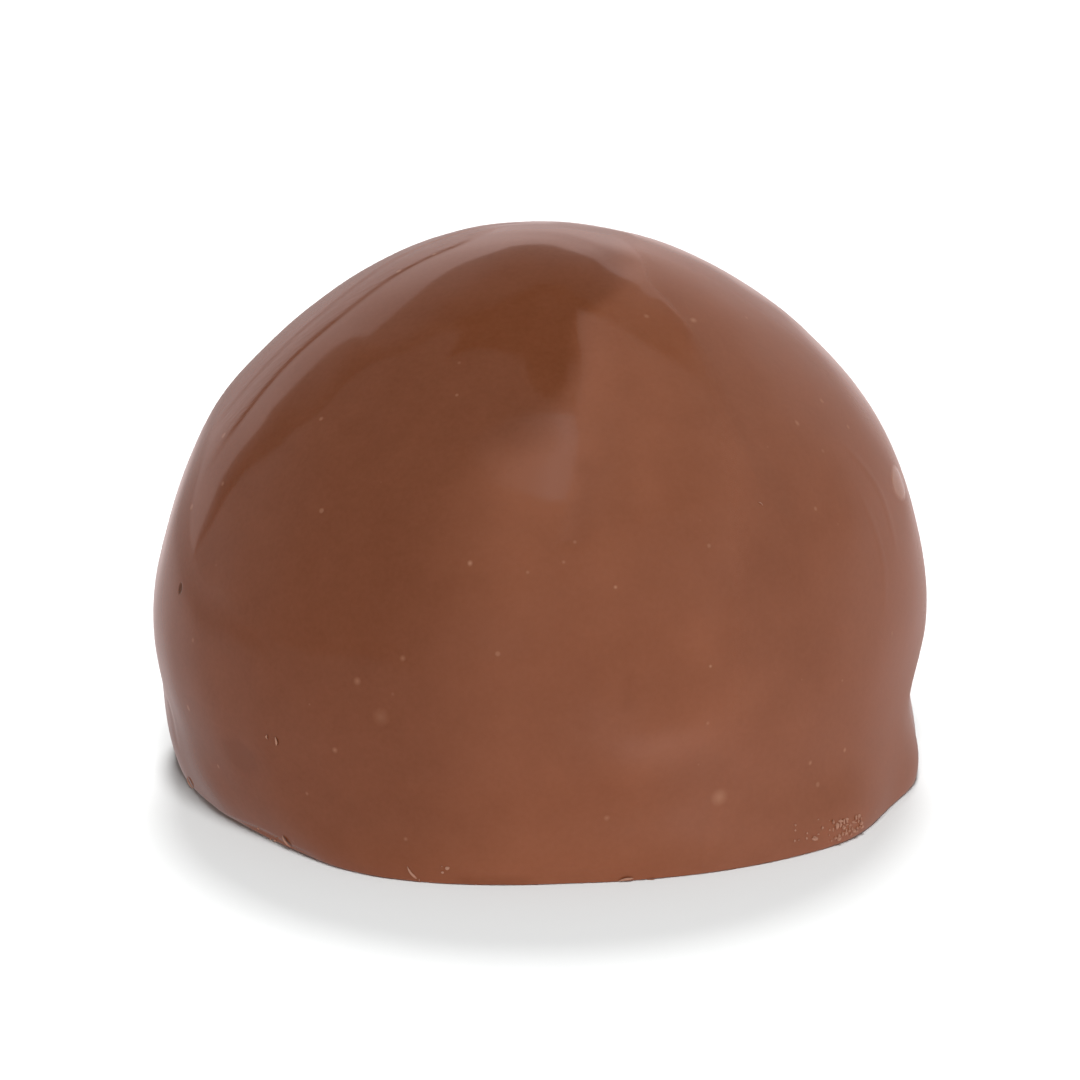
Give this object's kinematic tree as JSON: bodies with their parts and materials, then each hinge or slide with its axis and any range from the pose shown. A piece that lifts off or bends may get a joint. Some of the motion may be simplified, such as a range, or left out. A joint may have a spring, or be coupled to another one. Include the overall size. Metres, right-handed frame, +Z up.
{
  "type": "chocolate praline",
  "caption": "Domed milk chocolate praline, dipped by hand, with a soft fold at the crown, a slight waist and a foot that spreads a little round its flat base.",
  "frame": {"origin": "middle of the bounding box in X and Y, on the plane of the flat base", "axes": "+Z up, from the base to the crown; -Y is the side that the picture shows; +X is to its right"},
  "size_m": [0.03, 0.0302, 0.0217],
  "materials": {
    "milk_chocolate": "satin milk chocolate"
  },
  "bodies": {
    "root": {"praline": "milk_chocolate"}
  },
  "joints": []
}
